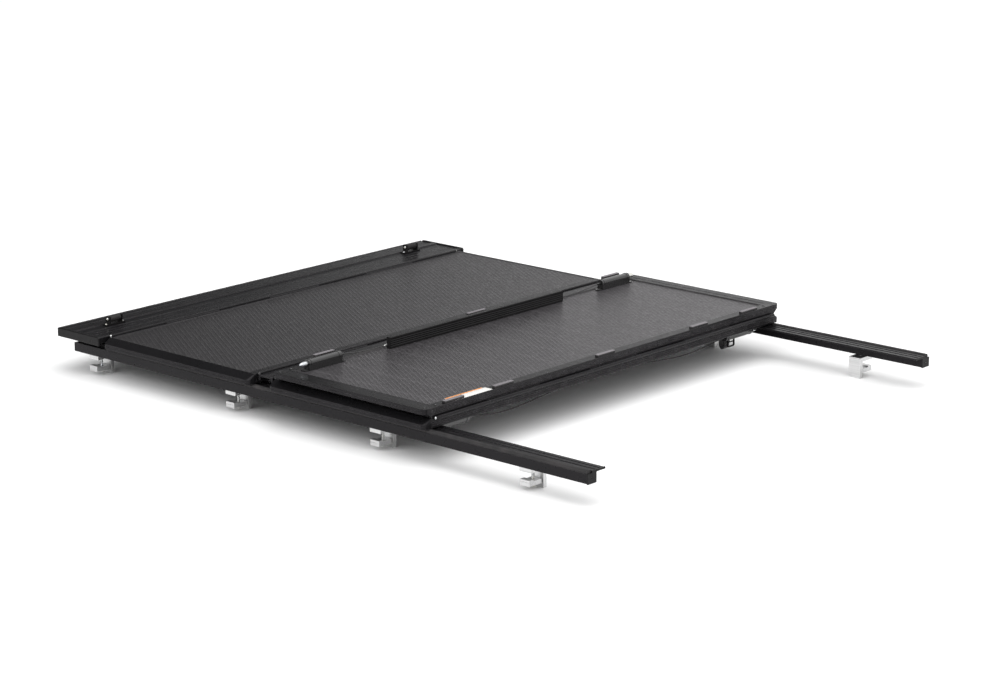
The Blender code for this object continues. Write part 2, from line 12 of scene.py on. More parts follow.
import bmesh
import bpy
from mathutils import Matrix, Quaternion, Vector


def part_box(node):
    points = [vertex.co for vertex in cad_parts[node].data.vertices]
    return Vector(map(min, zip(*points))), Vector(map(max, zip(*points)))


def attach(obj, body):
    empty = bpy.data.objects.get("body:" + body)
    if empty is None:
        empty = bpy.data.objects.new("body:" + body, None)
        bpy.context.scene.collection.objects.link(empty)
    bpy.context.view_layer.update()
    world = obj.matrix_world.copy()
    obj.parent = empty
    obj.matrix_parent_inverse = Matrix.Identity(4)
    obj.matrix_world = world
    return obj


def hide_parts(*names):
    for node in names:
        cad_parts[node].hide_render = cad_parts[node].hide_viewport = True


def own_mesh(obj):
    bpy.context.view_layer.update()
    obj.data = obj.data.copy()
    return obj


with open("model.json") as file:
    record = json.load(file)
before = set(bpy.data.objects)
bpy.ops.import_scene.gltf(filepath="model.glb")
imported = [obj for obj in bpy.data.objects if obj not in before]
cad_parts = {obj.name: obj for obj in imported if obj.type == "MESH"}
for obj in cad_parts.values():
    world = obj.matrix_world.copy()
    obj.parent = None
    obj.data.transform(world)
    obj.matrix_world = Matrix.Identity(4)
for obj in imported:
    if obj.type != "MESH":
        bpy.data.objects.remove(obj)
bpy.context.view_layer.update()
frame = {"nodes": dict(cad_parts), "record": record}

MM = 0.001
WELD_WITHIN = 0.01             # joins the CAD meshes' triangles, in millimetres
CAD_BEVEL = 0.3                # the round on the CAD pieces' edges, in millimetres
BEVEL_ANGLE = math.radians(35)     # an edge that turns more than this is rounded
SHARP_ANGLE = math.radians(40)     # an edge that turns more than this is sharp on other pieces
CLEAR = 0.2                    # a fitting's gap below what it is screwed to, in millimetres
SIDES = {"left": -1, "right": 1}
PANELS = ("front", "middle", "rear")
FOLDED = ("rear_panel", "rear_bolt_left", "rear_bolt_right")
BODY_OF = {}
for body_name, members in frame["record"]["behaviour"]["bodies"].items():
    for member in members:
        BODY_OF[member] = body_name
SLOT_OF_NODE = {row["node"]: row["material_slot"] for row in frame["record"]["subparts"]}


# ---------------------------------------------------------------- places from the frame

def centre(node):
    """The middle of a CAD node's box, in the row frame."""
    low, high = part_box(node)
    return (low + high) / 2


HINGE = centre("header_hinge_pin")
REAR_AXIS = centre("rear_hinge_pin")


def refold(place):
    """Turn a point of the row frame half round the rear hinge."""
    return Vector((place.x, 2 * REAR_AXIS.y - place.y, 2 * REAR_AXIS.z - place.z))


def to_row(point, body):
    """A point of the closed cover in millimetres, as its place at rest in the row frame."""
    place = HINGE + Vector(point) * MM
    return refold(place) if body in FOLDED else place


def closed_box(node):
    """A CAD node's lowest and highest corners in millimetres, on the closed cover."""
    corners = [Vector(corner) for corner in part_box(node)]
    if BODY_OF[node] in FOLDED:
        corners = [refold(corner) for corner in corners]
    corners = [(corner - HINGE) / MM for corner in corners]
    return Vector(map(min, *corners)), Vector(map(max, *corners))


# ---------------------------------------------------------------- shapes

def place_point(axis, along, point):
    """A point of an outline at a station along an axis."""
    a, b = point
    if axis == "X":
        return Vector((along, a, b))
    if axis == "Y":
        return Vector((a, along, b))
    return Vector((a, b, along))


def loft(bm, rings, closed=False):
    """A solid through rings of equal count, with flat ends unless it closes on itself."""
    rows = [[bm.verts.new(p) for p in ring] for ring in rings]
    pairs = list(zip(rows, rows[1:]))
    if closed:
        pairs.append((rows[-1], rows[0]))
    else:
        bm.faces.new(rows[0])
        bm.faces.new(rows[-1])
    for row, after in pairs:
        for i in range(len(row)):
            j = (i + 1) % len(row)
            bm.faces.new((row[i], row[j], after[j], after[i]))


def prism(bm, axis, outline, low, high):
    """An outline drawn out along an axis."""
    loft(bm, [[place_point(axis, at, p) for p in outline] for at in (low, high)])


def tube(bm, axis, outer, inner, low, high):
    """A prism with a hole: outer and inner outlines of the same count."""
    stations = ((outer, low), (outer, high), (inner, high), (inner, low))
    loft(bm, [[place_point(axis, at, p) for p in shape] for shape, at in stations], closed=True)


def circle(radius, middle=(0.0, 0.0), count=24):
    """A circle's outline."""
    angles = [2 * math.pi * i / count for i in range(count)]
    return [(middle[0] + radius * math.cos(a), middle[1] + radius * math.sin(a)) for a in angles]


def rounded(half_a, half_b, radius, middle=(0.0, 0.0), steps=4):
    """A rectangle's outline with round corners."""
    points = []
    for corner, (sa, sb) in enumerate(((1, 1), (-1, 1), (-1, -1), (1, -1))):
        for i in range(steps + 1):
            turn = math.pi / 2 * (corner + i / steps)
            a = middle[0] + sa * (half_a - radius) + radius * math.cos(turn)
            b = middle[1] + sb * (half_b - radius) + radius * math.sin(turn)
            points.append((a, b))
    return points


def turned(bm, axis, middle, stations, count=24):
    """A solid of revolution through (place along the axis, radius) stations."""
    loft(bm, [[place_point(axis, at, p) for p in circle(r, middle, count)] for at, r in stations])


def swept(bm, points, radius, count=8):
    """A round rod along a path of points."""
    points = [Vector(p) for p in points]
    rings = []
    across = None
    for i, point in enumerate(points):
        ahead = points[min(i + 1, len(points) - 1)] - points[max(i - 1, 0)]
        ahead.normalize()
        if across is None:
            across = ahead.orthogonal().normalized()
        across = (across - ahead * across.dot(ahead)).normalized()
        up = ahead.cross(across)
        turns = [2 * math.pi * k / count for k in range(count)]
        rings.append([point + radius * (across * math.cos(a) + up * math.sin(a)) for a in turns])
    loft(bm, rings)


def screw(bm, axis, middle, base, radius, height):
    """A domed screw head with a round socket, standing on a surface; a negative height hangs."""
    profile = ((0, 1), (0.4, 1), (0.8, 0.82), (1, 0.55), (1, 0.4), (0.45, 0.34))
    turned(bm, axis, middle, [(base + height * at, radius * r) for at, r in profile], 20)


def soften(piece, width):
    """Round a piece's sharp edges by a real bevel, in millimetres, and even out its normals."""
    bevel = piece.modifiers.new("Bevel", "BEVEL")
    bevel.width = width * MM
    bevel.segments = 2
    bevel.limit_method = "ANGLE"
    bevel.angle_limit = BEVEL_ANGLE
    normals = piece.modifiers.new("Normals", "WEIGHTED_NORMAL")
    normals.weight = 100


def normals_group(name, smooth):
    """Modifier nodes that drop a mesh's custom normals, and make it smooth if asked."""
    group = bpy.data.node_groups.new(name, "GeometryNodeTree")
    for way in ("INPUT", "OUTPUT"):
        group.interface.new_socket("Geometry", in_out=way, socket_type="NodeSocketGeometry")
    steps = [group.nodes.new("NodeGroupInput")]
    drop = group.nodes.new("GeometryNodeRemoveAttribute")
    drop.inputs["Name"].default_value = "custom_normal"
    steps.append(drop)
    if smooth:
        steps.append(group.nodes.new("GeometryNodeSetMeshNormal"))
    steps.append(group.nodes.new("NodeGroupOutput"))
    for step, after in zip(steps, steps[1:]):
        group.links.new(step.outputs[0], after.inputs[0])
    return group


PLAIN_NORMALS = normals_group("plain_normals", False)
SMOOTH_NORMALS = normals_group("smooth_normals", True)


def fair(piece, crisp=False):
    """Weld a CAD mesh and round its edges, by modifiers that leave the mesh as it is."""
    faces = piece.modifiers.new("Faces", "NODES")
    faces.node_group = PLAIN_NORMALS if crisp else SMOOTH_NORMALS
    weld = piece.modifiers.new("Weld", "WELD")
    weld.merge_threshold = WELD_WITHIN * MM
    if not crisp:
        soften(piece, CAD_BEVEL)


def add(name, bm, material, body, side=1, bevel=0.25):
    """Make a piece from geometry on the closed cover; side -1 mirrors it to the left."""
    for vert in bm.verts:
        x, y, z = vert.co
        vert.co = to_row((side * x, y, z), body)
    bmesh.ops.recalc_face_normals(bm, faces=bm.faces)
    mesh = bpy.data.meshes.new(name)
    bm.to_mesh(mesh)
    bm.free()
    mesh.materials.append(material)
    piece = bpy.data.objects.new(name, mesh)
    bpy.context.scene.collection.objects.link(piece)
    mesh.shade_smooth()
    if bevel:
        soften(piece, bevel)
    else:
        mesh.set_sharp_from_angle(angle=SHARP_ANGLE)
    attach(piece, body)
    return piece


# ---------------------------------------------------------------- materials

SHEEN_TINT = (1.0, 0.94, 1.0, 1.0)
DIAMOND = 0.013                # spacing of the embossed lines, in metres
DIAMOND_TURN = math.radians(31)    # how far the lines slant from Y
SEAM_PITCH = 0.1               # the core's joints, which show through the liner, in metres
RIB_PITCH = 0.0016             # the cable jacket's and the webbing's ribs, in metres


def new_material(name, slot, **values):
    """A Principled material with fixed values on its shader's own sockets."""
    material = bpy.data.materials.new(name)
    material.use_nodes = True
    shader = material.node_tree.nodes["Principled BSDF"]
    for socket, value in values.items():
        shader.inputs[socket.replace("_", " ")].default_value = value
    return material


def join(material, value, socket):
    """Link a socket to another, or set a plain value on it."""
    if isinstance(value, bpy.types.NodeSocket):
        material.node_tree.links.new(value, socket)
    else:
        socket.default_value = value


def node(material, kind, inputs=None, **settings):
    """Add a shader node, and set or link its inputs."""
    made = material.node_tree.nodes.new("ShaderNode" + kind)
    for name, value in settings.items():
        setattr(made, name, value)
    for key, value in (inputs or {}).items():
        join(material, value, made.inputs[key])
    return made


def math_node(material, operation, a, b=0.0):
    """The result of a math node."""
    return node(material, "Math", {0: a, 1: b}, operation=operation).outputs["Value"]


def place_socket(material, stretch=(1.0, 1.0, 1.0)):
    """Object coordinates, in metres, stretched along the axes."""
    place = node(material, "TexCoord").outputs["Object"]
    return node(material, "Mapping", {"Vector": place, "Scale": stretch}).outputs["Vector"]


def noise(material, scale, detail=4.0, stretch=(1.0, 1.0, 1.0)):
    """A cloudy pattern with that many features to the metre."""
    place = place_socket(material, stretch)
    made = node(material, "TexNoise", {"Vector": place, "Scale": scale, "Detail": detail})
    return made.outputs["Fac"]


def stripes(material, direction, pitch):
    """Waves from 0 to 1 along a direction, a pitch apart in metres."""
    place = place_socket(material)
    axis = Vector(direction).normalized() * (2 * math.pi / pitch)
    along = node(material, "VectorMath", {0: place, 1: axis}, operation="DOT_PRODUCT")
    wave = math_node(material, "SINE", along.outputs["Value"])
    return spread(material, wave, -1.0, 1.0, 0.0, 1.0)


def spread(material, value, from_low, from_high, low, high):
    """A value mapped from one range to another."""
    ranges = {"Value": value, "From Min": from_low, "From Max": from_high, "To Min": low,
              "To Max": high}
    return node(material, "MapRange", ranges).outputs["Result"]


def mixed(material, factor, first, second):
    """A colour between two, by a factor."""
    made = node(material, "Mix", data_type="RGBA")
    for index, value in ((0, factor), (6, first), (7, second)):
        join(material, value, made.inputs[index])
    return made.outputs[2]


def grey(value, warm=0.0):
    """A grey with a faint magenta cast, a little warmer or cooler."""
    return (value * (1.03 + warm), value * 0.97, value * (1.03 - warm), 1.0)


def neutral(value):
    """A plain grey."""
    return (value, value, value, 1.0)


def shader_of(material):
    """The material's Principled shader."""
    return material.node_tree.nodes["Principled BSDF"]


def edge_wear_and_highlight(material, radius):
    """About 1 along convex and concave edges, and 0 on flat places, broken up by noise: edge wear
    together with a painted highlight on the edges.
    """
    # the edge mask lightens colour as wear and also as a painted highlight along edges
    soft = node(material, "Bevel", {"Radius": radius}, samples=4).outputs["Normal"]
    true = node(material, "NewGeometry").outputs["Normal"]
    close = node(material, "VectorMath", {0: soft, 1: true}, operation="DOT_PRODUCT")
    edge = spread(material, close.outputs["Value"], 0.97, 0.75, 0.0, 1.0)
    patchy = spread(material, noise(material, 45.0), 0.35, 0.65, 0.2, 1.0)
    return math_node(material, "MULTIPLY", edge, patchy)


def finish_surface(material, colour, rough, height, depth, round_radius=0.0):
    """Link a colour, a roughness and a height, whose full depth is in metres, to the shader."""
    shader = shader_of(material)
    join(material, colour, shader.inputs["Base Color"])
    join(material, rough, shader.inputs["Roughness"])
    inputs = {"Height": height, "Distance": depth, "Strength": 1.0}
    if round_radius:
        rounding = node(material, "Bevel", {"Radius": round_radius}, samples=4)
        inputs["Normal"] = rounding.outputs["Normal"]
    bump = node(material, "Bump", inputs)
    join(material, bump.outputs["Normal"], shader.inputs["Normal"])
    return material


def powder_coat():
    """Satin black powder coat with orange peel, lighter along its edges: partly wear, partly a
    painted edge highlight.
    """
    material = new_material("powder_coat", "black_aluminium", Specular_IOR_Level=0.15,
                            Specular_Tint=SHEEN_TINT)
    clouds = noise(material, 6.0, 5.0)
    body = mixed(material, clouds, grey(0.005, -0.03), grey(0.010, -0.03))
    # lighter edges: wear mixed with a painted highlight along every edge
    colour = mixed(material, edge_wear_and_highlight(material, 0.0014), body, grey(0.13))
    rough = spread(material, noise(material, 60.0), 0.3, 0.7, 0.26, 0.36)
    return finish_surface(material, colour, rough, noise(material, 900.0, 2.0), 0.00005,
                          round_radius=0.0007)


def fibre_skin(name, liner_up):
    """Glass-fibre skin: an embossed diamond grid on top, a mottled grey liner underneath."""
    material = new_material(name, "fibre_skin", Specular_IOR_Level=0.42, Specular_Tint=SHEEN_TINT)
    up = node(material, "TexCoord").outputs["Normal"]
    up = node(material, "SeparateXYZ", {0: up}).outputs["Z"]
    if not liner_up:
        up = math_node(material, "MULTIPLY", up, -1.0)
    liner = math_node(material, "GREATER_THAN", up, 0.5)

    slant = math.sin(DIAMOND_TURN), math.cos(DIAMOND_TURN)
    lines = [stripes(material, (slant[1], sign * slant[0], 0), DIAMOND) for sign in (1, -1)]
    lines = [math_node(material, "POWER", line, 4.0) for line in lines]
    grid = math_node(material, "MAXIMUM", *lines)
    grain = noise(material, 1100.0, 3.0)
    speck = spread(material, noise(material, 150.0, 3.0), 0.38, 0.62, 0.0, 1.0)
    seam = math_node(material, "POWER", stripes(material, (1, 0, 0), SEAM_PITCH), 50.0)
    rise = math_node(material, "ADD", math_node(material, "MULTIPLY", grid, 0.8),
                     math_node(material, "MULTIPLY", grain, 0.25))
    rise = math_node(material, "ADD", rise, math_node(material, "MULTIPLY", speck, 0.35))

    clouds = noise(material, 3.5, 6.0)
    top = mixed(material, clouds, grey(0.008), grey(0.014))
    top = mixed(material, math_node(material, "MULTIPLY", speck, 0.4), top, grey(0.022))
    top = mixed(material, math_node(material, "MULTIPLY", grid, 0.25), top, grey(0.04))
    under = mixed(material, clouds, grey(0.016), grey(0.026))
    under = mixed(material, math_node(material, "MULTIPLY", speck, 0.5), under, grey(0.055))
    under = mixed(material, math_node(material, "MULTIPLY", grid, 0.3), under, grey(0.08))
    under = mixed(material, math_node(material, "MULTIPLY", seam, 0.16), under, grey(0.14))
    colour = mixed(material, liner, top, under)

    rough = spread(material, speck, 0.0, 1.0, 0.3, 0.44)
    return finish_surface(material, colour, rough, rise, 0.0003)


def moulded_plastic(name, slot, low, high, rough_low, rough_high):
    """Moulded plastic with a fine spark-eroded grain."""
    material = new_material(name, slot, Specular_IOR_Level=0.15)
    colour = mixed(material, noise(material, 14.0, 5.0), grey(low), grey(high))
    rough = spread(material, noise(material, 130.0), 0.3, 0.7, rough_low, rough_high)
    return finish_surface(material, colour, rough, noise(material, 1600.0, 2.0), 0.0001)


def soft_rubber():
    """Matt rubber with dust in its pores."""
    material = new_material("soft_rubber", "rubber", IOR=1.5, Specular_IOR_Level=0.35)
    dust = spread(material, noise(material, 30.0, 6.0), 0.4, 0.75, 0.0, 1.0)
    colour = mixed(material, dust, grey(0.014), grey(0.034, 0.04))
    rough = spread(material, dust, 0.0, 1.0, 0.62, 0.82)
    return finish_surface(material, colour, rough, noise(material, 700.0, 5.0), 0.0002)


def plated_steel():
    """Zinc-plated steel with faint yellow and blue passivation."""
    material = new_material("plated_steel", "zinc_steel", Metallic=1.0)
    hue = spread(material, noise(material, 22.0, 3.0), 0.35, 0.65, 0.0, 1.0)
    colour = mixed(material, hue, (0.66, 0.64, 0.58, 1.0), (0.6, 0.63, 0.67, 1.0))
    rough = spread(material, noise(material, 170.0, 4.0), 0.3, 0.7, 0.2, 0.38)
    return finish_surface(material, colour, rough, noise(material, 420.0, 3.0), 0.00004)


def drawn_aluminium():
    """Bare extruded aluminium with its draw lines along Y."""
    material = new_material("drawn_aluminium", "bare_aluminium", Metallic=1.0)
    lines = noise(material, 350.0, 4.0, (1.0, 0.02, 1.0))
    tone = spread(material, lines, 0.3, 0.7, 0.0, 1.0)
    colour = mixed(material, tone, neutral(0.55), neutral(0.7))
    # paler edges: wear mixed with a painted highlight along every edge
    colour = mixed(material, edge_wear_and_highlight(material, 0.001), colour, neutral(0.85))
    rough = spread(material, lines, 0.3, 0.7, 0.26, 0.42)
    return finish_surface(material, colour, rough, lines, 0.00006)


def gloss_enamel():
    """Glossy black enamel on steel."""
    material = new_material("gloss_enamel", "black_steel", IOR=1.52, Coat_Weight=0.4)
    colour = mixed(material, noise(material, 40.0), grey(0.004), grey(0.009))
    # lighter edges: wear mixed with a painted highlight along every edge
    colour = mixed(material, edge_wear_and_highlight(material, 0.0008), colour, grey(0.12))
    rough = spread(material, noise(material, 90.0), 0.3, 0.7, 0.16, 0.3)
    return finish_surface(material, colour, rough, noise(material, 500.0), 0.00005)


def cable_jacket():
    """A ribbed black cable jacket."""
    material = new_material("cable_jacket", "cable_sleeve", IOR=1.48)
    colour = mixed(material, noise(material, 80.0), grey(0.015), grey(0.04))
    rough = spread(material, noise(material, 200.0), 0.3, 0.7, 0.38, 0.55)
    return finish_surface(material, colour, rough, stripes(material, (1, 0, 0), RIB_PITCH), 0.0002)


def woven_strap():
    """Nylon webbing: a tight herringbone of ribs, with a soft sheen."""
    material = new_material("woven_strap", "webbing", Sheen_Weight=0.5, Sheen_Roughness=0.4)
    ways = ((1, 0.6, 0.6), (1, -0.6, -0.6))
    ribs = [stripes(material, way, RIB_PITCH) for way in ways]
    weave = math_node(material, "MAXIMUM", *ribs)
    fuzz = noise(material, 1500.0)
    colour = mixed(material, math_node(material, "MULTIPLY", weave, fuzz), grey(0.008), grey(0.05))
    rough = spread(material, fuzz, 0.2, 0.8, 0.75, 0.95)
    return finish_surface(material, colour, rough, weave, 0.0005)


def printed_film(name, colour, shade):
    """Smooth label film with faint mottling."""
    material = new_material(name, None, IOR=1.45)
    tone = spread(material, noise(material, 90.0), 0.3, 0.7, 0.0, 1.0)
    tint = mixed(material, tone, (*shade, 1.0), (*colour, 1.0))
    rough = spread(material, noise(material, 300.0), 0.3, 0.7, 0.3, 0.42)
    return finish_surface(material, tint, rough, noise(material, 150.0), 0.0001)


POWDER = powder_coat()
SKIN = fibre_skin("fibre_skin_top", False)
LINER_UP = fibre_skin("fibre_skin_folded", True)
PLASTIC = moulded_plastic("moulded_black", "black_plastic", 0.005, 0.011, 0.3, 0.44)
PALE = moulded_plastic("moulded_grey", None, 0.15, 0.21, 0.38, 0.5)
RUBBER = soft_rubber()
ZINC = plated_steel()
BARE = drawn_aluminium()
ENAMEL = gloss_enamel()
JACKET = cable_jacket()
STRAP = woven_strap()
PAPER = printed_film("label_white", (0.84, 0.83, 0.8), (0.76, 0.75, 0.72))
ORANGE = printed_film("label_orange", (0.8, 0.3, 0.05), (0.7, 0.22, 0.03))


# ---------------------------------------------------------------- the CAD nodes' finish

MATERIAL_OF_SLOT = {
    "black_aluminium": POWDER,
    "bare_aluminium": BARE,
    "fibre_skin": SKIN,
    "black_plastic": PLASTIC,
    "rubber": RUBBER,
    "zinc_steel": ZINC,
    "black_steel": ENAMEL,
    "cable_sleeve": JACKET,
    "webbing": STRAP,
}
CRISP = ("header_plate", "hinge_link", "front_frame_front", "front_frame_rear",
         "middle_frame_front", "middle_frame_rear", "rear_frame_front")


def finish_nodes():
    """Give every CAD node its material, and round its edges unless it is in CRISP."""
    for name, piece in frame["nodes"].items():
        material = MATERIAL_OF_SLOT[SLOT_OF_NODE[name]]
        if name == "rear_slab":
            material = LINER_UP
        for holder in piece.material_slots:
            holder.material = material
        fair(piece, name in CRISP)


finish_nodes()


# ---------------------------------------------------------------- clamps, header and rails

CLAMP_BOLT_X = 722.0
CLAMP_BOLT_R = 4.1
CLAMP_BOLT_PITCH = 1.5
THREAD_DEPTH = 0.45
WASHER_R = 8.2
MIDDLE_CLAMPS = {"third": -520.0, "fourth": -1080.0}
ROLLER_RIBS = 9
ROLLER_LEAD = 1.2              # the plain length at each end of a roller
BRACKET_X = (700.0, 736.0)
BRACKET_Y = (98.0, 136.0)
BRACKET_WALL = 3.0
BRACKET_ROOF = -3.3            # just under the header's plate
BRACKET_FOOT = 6.3             # the bracket's foot above the rail's box
BRACKET_BOLT_IN = 9.0


def add_clamp_bolt(tag, y, side):
    """The bolt that draws a clamp's jaw up, with its washer."""
    under = closed_box("clamp_jaw_rear_right")[0].z
    top = closed_box("clamp_body_rear_right")[1].z - 2.0
    middle = (CLAMP_BOLT_X, y)
    bm = bmesh.new()
    turned(bm, "Z", middle, ((under - 1.9, WASHER_R), (under - 0.1, WASHER_R)), 28)
    add("clamp_washer_" + tag, bm, ZINC, "bed_frame", side, 0.3)

    count = int((top - under) / CLAMP_BOLT_PITCH * 2)
    stations = [(under - 2.0 + i * CLAMP_BOLT_PITCH / 2, CLAMP_BOLT_R - THREAD_DEPTH * (i % 2))
                for i in range(count)]
    bm = bmesh.new()
    turned(bm, "Z", middle, stations, 16)
    turned(bm, "Z", middle, ((under - 7.6, 6.6), (under - 6.8, 7.5), (under - 2.0, 7.5)), 6)
    add("clamp_bolt_" + tag, bm, ZINC, "bed_frame", side, 0.2)


def add_clamps():
    """Bolts for the four CAD clamps, and a second pair of clamps under the middle of each rail."""
    rear_low, rear_high = closed_box("clamp_body_rear_right")
    rear_y = (rear_low.y + rear_high.y) / 2
    for word, side in SIDES.items():
        for end in ("front", "rear"):
            low, high = closed_box("clamp_body_" + end + "_" + word)
            add_clamp_bolt(end + "_" + word, (low.y + high.y) / 2, side)
        for tag, y in MIDDLE_CLAMPS.items():
            for part in ("clamp_body_", "clamp_jaw_"):
                mesh = frame["nodes"][part + "rear_" + word].data.copy()
                mesh.transform(Matrix.Translation((0.0, (y - rear_y) * MM, 0.0)))
                piece = bpy.data.objects.new(part + tag + "_" + word, mesh)
                bpy.context.scene.collection.objects.link(piece)
                fair(piece)
                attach(piece, "bed_frame")
            add_clamp_bolt(tag + "_" + word, y, side)


def add_rollers():
    """The ribbed rubber rollers on the header, their axles and bracket screws."""
    for word, side in SIDES.items():
        low, high = closed_box("cab_bumper_pad_right")
        middle = ((low.y + high.y) / 2, (low.z + high.z) / 2)
        radius = (high.z - low.z) / 2
        ribbed = high.x - low.x - 2 * ROLLER_LEAD
        stations = [(low.x, radius - 2.5), (low.x + 0.8, radius - 0.4)]
        for i in range(ROLLER_RIBS):
            start = low.x + ROLLER_LEAD + ribbed * i / ROLLER_RIBS
            width = ribbed / ROLLER_RIBS
            shape = ((0.0, radius - 1.1), (0.2, radius), (0.7, radius), (0.9, radius - 1.1))
            stations += [(start + width * at, r) for at, r in shape]
        stations += [(high.x - 0.8, radius - 0.4), (high.x, radius - 2.5)]
        bm = bmesh.new()
        turned(bm, "X", middle, stations, 32)
        roller = add("cab_roller_" + word, bm, RUBBER, "bed_frame", side, 0.0)
        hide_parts("cab_bumper_pad_" + word)

        base_low, base_high = closed_box("cab_bumper_bracket_right")
        bm = bmesh.new()
        screw(bm, "X", middle, low.x - 4.6, 4.6, -2.6)
        screw(bm, "X", middle, high.x + 4.6, 4.6, 2.6)
        for x in (base_low.x + 5.2, base_high.x - 5.2):
            screw(bm, "Z", (x, middle[0]), base_low.z + 3.2, 3.8, 2.4)
        add("roller_screws_" + word, bm, ZINC, "bed_frame", side, 0.0)


def add_corner_brackets():
    """The channels that join the header to the rails, with their bolts."""
    roof, wall = BRACKET_ROOF, BRACKET_WALL
    low_x, high_x = BRACKET_X
    near, far = BRACKET_Y
    foot = closed_box("side_rail_right")[1].z + BRACKET_FOOT
    for word, side in SIDES.items():
        outline = [(low_x, foot), (high_x, foot), (high_x, foot + wall)]
        outline += [(low_x + wall, foot + wall), (low_x + wall, roof - wall)]
        outline += [(high_x, roof - wall), (high_x, roof), (low_x, roof)]
        bm = bmesh.new()
        prism(bm, "Y", outline, near, far)
        add("corner_bracket_" + word, bm, POWDER, "bed_frame", side, 0.5)
        bm = bmesh.new()
        seat = foot + wall
        for y in (near + BRACKET_BOLT_IN, far - BRACKET_BOLT_IN):
            turned(bm, "Z", (high_x - 14.0, y), ((seat, 6.5), (seat + 4.2, 6.5)), 6)
            turned(bm, "Z", (high_x - 14.0, y), ((seat + 4.1, 3.0), (seat + 7.0, 3.0)))
        add("bracket_bolts_" + word, bm, ZINC, "bed_frame", side, 0.4)


def add_rail_screws():
    """A countersunk screw in each end cap of the rails and of the header."""
    cap_low = closed_box("rail_end_cap_right")[0]
    head_low, head_high = closed_box("header_end_cap_right")
    for word, side in SIDES.items():
        bm = bmesh.new()
        screw(bm, "Y", (cap_low.x + 51.0, cap_low.z + 14.0), cap_low.y + 0.4, 3.6, -0.4)
        add("rail_cap_screw_" + word, bm, ZINC, "bed_frame", side, 0.0)
        bm = bmesh.new()
        for y in (head_low.y + 30.0, head_high.y - 30.0):
            screw(bm, "X", (y, -12.0), head_high.x - 0.4, 3.6, 0.4)
        add("header_cap_screws_" + word, bm, ZINC, "bed_frame", side, 0.0)


# ---------------------------------------------------------------- panels

CORNER_SCREW_X = 714.0
CORNER_SCREW_IN = 15.0
LOWER_SCREW_IN = 42.0          # a corner's second screw, beyond the first
LIP_REAR = {"front": -573.0, "middle": -1248.0}
HINGE_BLOCKS = (-650.0, -454.0, -28.0, 394.0, 630.0)
TAIL_BLOCKS = (-598.0, 26.0, 636.0)
BLOCK_HALF = 38.0
LABEL_X = (-648.0, -502.0)
LABEL_Y = (-1293.0, -1320.0)


def bead_loop(bm, low, high, section):
    """A strip round a rectangle. section holds (distance inside the edge, height) points."""
    rings = []
    for sx, sy in ((1, 1), (-1, 1), (-1, -1), (1, -1)):
        x = high.x if sx > 0 else low.x
        y = high.y if sy > 0 else low.y
        rings.append([Vector((x - sx * inset, y - sy * inset, z)) for inset, z in section])
    loft(bm, rings, closed=True)


def add_panel_trim():
    """Sealant round each slab above and below, and the screws at the frame's corners."""
    for panel in PANELS:
        body = panel + "_panel"
        slab_low, slab_high = closed_box(panel + "_slab")
        bm = bmesh.new()
        upper = ((-0.1, -0.3), (-0.1, 0.95), (1.4, 0.8), (2.6, 0.35), (3.2, -0.3))
        section = [(at, slab_high.z + z) for at, z in upper]
        bead_loop(bm, slab_low, slab_high, section)
        add(panel + "_top_sealant", bm, RUBBER, body, 1, 0.0)

        lip_low = Vector((closed_box(panel + "_frame_left")[1].x, 0, 0))
        lip_high = Vector((closed_box(panel + "_frame_right")[0].x, 0, 0))
        lip_low.y = closed_box(panel + "_frame_rear")[1].y
        lip_high.y = closed_box(panel + "_frame_front")[0].y
        if panel != "rear":
            lip_low.y = LIP_REAR[panel]
        lower = ((-0.4, 0.3), (-0.4, -2.9), (0.8, -2.7), (2.6, -1.5), (4.4, -0.4), (5.0, 0.3))
        section = [(at, slab_low.z + z) for at, z in lower]
        bm = bmesh.new()
        bead_loop(bm, lip_low, lip_high, section)
        add(panel + "_under_sealant", bm, RUBBER, body, 1, 0.0)

        edge_low, edge_high = closed_box(panel + "_frame_left")
        bm = bmesh.new()
        for x in (-CORNER_SCREW_X, CORNER_SCREW_X):
            for y in (edge_low.y + CORNER_SCREW_IN, edge_high.y - CORNER_SCREW_IN):
                screw(bm, "Z", (x, y), edge_low.z + 0.1, 3.6, -1.7)
                beyond = x + math.copysign(LOWER_SCREW_IN, x)
                screw(bm, "Z", (beyond, y), edge_low.z + 0.1, 3.2, -0.5)
        add(panel + "_corner_screws", bm, ENAMEL, body, 1, 0.0)


def add_pin_heads():
    """The rolled-over ends of the four hinge pins."""
    for pin in ("header_hinge_pin", "link_pin_front", "link_pin_rear", "rear_hinge_pin"):
        low, high = closed_box(pin)
        middle = ((low.y + high.y) / 2, (low.z + high.z) / 2)
        profile = ((0.1, 2.4), (0.6, 4.3), (2.2, 4.3), (3.4, 3.4), (3.9, 1.6))
        bm = bmesh.new()
        turned(bm, "X", middle, [(high.x + at, r) for at, r in profile], 20)
        turned(bm, "X", middle, [(low.x - at, r) for at, r in profile], 20)
        material = ENAMEL if "link" in pin else ZINC
        add(pin + "_heads", bm, material, BODY_OF[pin], 1, 0.0)


def add_block(name, x, y, top, bottom):
    """A bumper block under the rear panel: a rubber foot with a pale wear face."""
    foot = bottom + 2.4
    bm = bmesh.new()
    prism(bm, "Z", rounded(BLOCK_HALF, 6.0, 2.5, (x, y)), top, foot)
    add(name + "_foot", bm, RUBBER, "rear_panel", 1, 0.4)
    bm = bmesh.new()
    prism(bm, "Z", rounded(BLOCK_HALF - 0.6, 5.6, 2.2, (x, y)), foot - 0.1, bottom)
    add(name + "_face", bm, PALE, "rear_panel", 1, 0.8)


